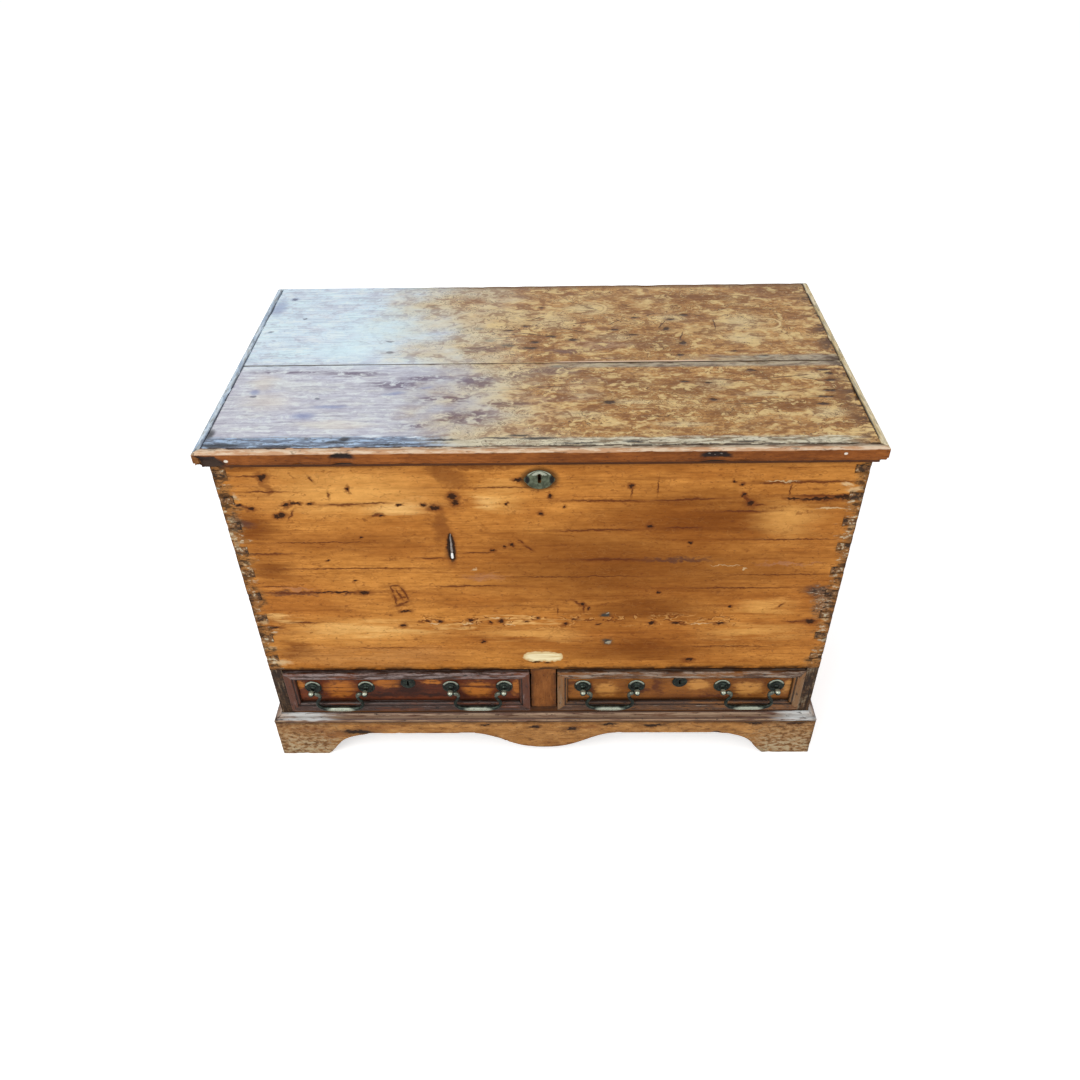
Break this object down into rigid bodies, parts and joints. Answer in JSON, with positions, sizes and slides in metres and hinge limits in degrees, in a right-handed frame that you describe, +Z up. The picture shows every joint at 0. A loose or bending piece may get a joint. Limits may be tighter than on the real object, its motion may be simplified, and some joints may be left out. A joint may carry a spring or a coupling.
{
  "type": "mule chest",
  "caption": "Dovetailed pine blanket chest with a strap-hinged lid, two moulded drawers with swan-neck bails below, and a bracket plinth.",
  "frame": {"origin": "on the floor, under the middle of the chest's whole box", "axes": "+X along the width to the chest's left as it faces you, so to the viewer's right; +Y from the drawer front to the back; +Z up"},
  "size_m": [1.09, 0.616, 0.7604],
  "materials": {
    "pine": "waxed old pine",
    "lid_pine": "worn wax, stained",
    "lid_moulding_pine": "worn wax",
    "moulding_pine": "dark worn stain",
    "plinth_pine": "scuffed wax",
    "raw_pine": "unfinished",
    "old_brass": "dark verdigris",
    "iron": "dark oxide"
  },
  "bodies": {
    "case": {"front_board": "pine", "left_end": "pine", "right_end": "pine", "back_board_upper": "raw_pine", "back_board_lower": "raw_pine", "chest_floor": "raw_pine", "base_board": "raw_pine", "bottom_rail": "pine", "muntin": "pine", "drawer_runners": "raw_pine", "centre_guide": "raw_pine", "plinth_front": "plinth_pine", "plinth_left": "plinth_pine", "plinth_right": "plinth_pine", "plinth_moulding_front": "moulding_pine", "plinth_moulding_left": "moulding_pine", "plinth_moulding_right": "moulding_pine", "corner_blocks": "raw_pine", "rear_brackets": "raw_pine", "till_tray": "raw_pine", "chest_lock": "iron", "case_screws": "iron", "chest_escutcheon": "old_brass", "old_nail": "iron", "hinge_leaves": "iron", "hinge_pins": "iron"},
    "lid": {"lid_front_board": "lid_pine", "lid_rear_board": "lid_pine", "lid_moulding_front": "lid_moulding_pine", "lid_moulding_left": "lid_moulding_pine", "lid_moulding_right": "lid_moulding_pine", "hinge_straps": "iron", "strap_screws": "iron", "lid_link_plate": "iron"},
    "till_lid": {"till_lid": "raw_pine"},
    "chest_lock_bolt": {"chest_lock_bolt": "iron"},
    "right_drawer": {"right_drawer_front": "pine", "right_drawer_moulding": "moulding_pine", "right_drawer_sides": "raw_pine", "right_drawer_back": "raw_pine", "right_drawer_bottom": "raw_pine", "right_drawer_lock": "iron", "right_drawer_escutcheon": "old_brass", "right_drawer_rosettes": "old_brass", "right_drawer_handle_posts": "old_brass"},
    "right_drawer_lock_bolt": {"right_drawer_lock_bolt": "iron"},
    "right_inner_bail": {"right_drawer_inner_bail": "old_brass"},
    "right_outer_bail": {"right_drawer_outer_bail": "old_brass"},
    "left_drawer": {"left_drawer_front": "pine", "left_drawer_moulding": "moulding_pine", "left_drawer_sides": "raw_pine", "left_drawer_back": "raw_pine", "left_drawer_bottom": "raw_pine", "left_drawer_lock": "iron", "left_drawer_escutcheon": "old_brass", "left_drawer_rosettes": "old_brass", "left_drawer_handle_posts": "old_brass"},
    "left_drawer_lock_bolt": {"left_drawer_lock_bolt": "iron"},
    "left_inner_bail": {"left_drawer_inner_bail": "old_brass"},
    "left_outer_bail": {"left_drawer_outer_bail": "old_brass"}
  },
  "joints": [
    {"name": "lid_hinge", "type": "hinge", "parent": "case", "child": "lid", "pos_m": [0, 0.3025, 0.7384], "axis": [-1, 0, 0], "range_deg": [0, 100]},
    {"name": "till_lid_pivot", "type": "hinge", "parent": "case", "child": "till_lid", "pos_m": [-0.498, 0, 0.6074], "axis": [0, -1, 0], "range_deg": [0, 90]},
    {"name": "chest_lock_throw", "type": "slide", "parent": "case", "child": "chest_lock_bolt", "axis": [1, 0, 0], "range_m": [0, 0.009]},
    {"name": "right_drawer_slide", "type": "slide", "parent": "case", "child": "right_drawer", "axis": [0, -1, 0], "range_m": [0, 0.42]},
    {"name": "right_drawer_lock_throw", "type": "slide", "parent": "right_drawer", "child": "right_drawer_lock_bolt", "axis": [0, 0, 1], "range_m": [0, 0.006]},
    {"name": "right_inner_bail_swing", "type": "hinge", "parent": "right_drawer", "child": "right_inner_bail", "pos_m": [0.1295, -0.302, 0.191], "axis": [-1, 0, 0], "range_deg": [-4, 150]},
    {"name": "right_outer_bail_swing", "type": "hinge", "parent": "right_drawer", "child": "right_outer_bail", "pos_m": [0.4015, -0.302, 0.191], "axis": [-1, 0, 0], "range_deg": [-4, 150]},
    {"name": "left_drawer_slide", "type": "slide", "parent": "case", "child": "left_drawer", "axis": [0, -1, 0], "range_m": [0, 0.42]},
    {"name": "left_drawer_lock_throw", "type": "slide", "parent": "left_drawer", "child": "left_drawer_lock_bolt", "axis": [0, 0, 1], "range_m": [0, 0.006]},
    {"name": "left_inner_bail_swing", "type": "hinge", "parent": "left_drawer", "child": "left_inner_bail", "pos_m": [-0.1295, -0.302, 0.191], "axis": [-1, 0, 0], "range_deg": [-4, 150]},
    {"name": "left_outer_bail_swing", "type": "hinge", "parent": "left_drawer", "child": "left_outer_bail", "pos_m": [-0.4015, -0.302, 0.191], "axis": [-1, 0, 0], "range_deg": [-4, 150]}
  ]
}
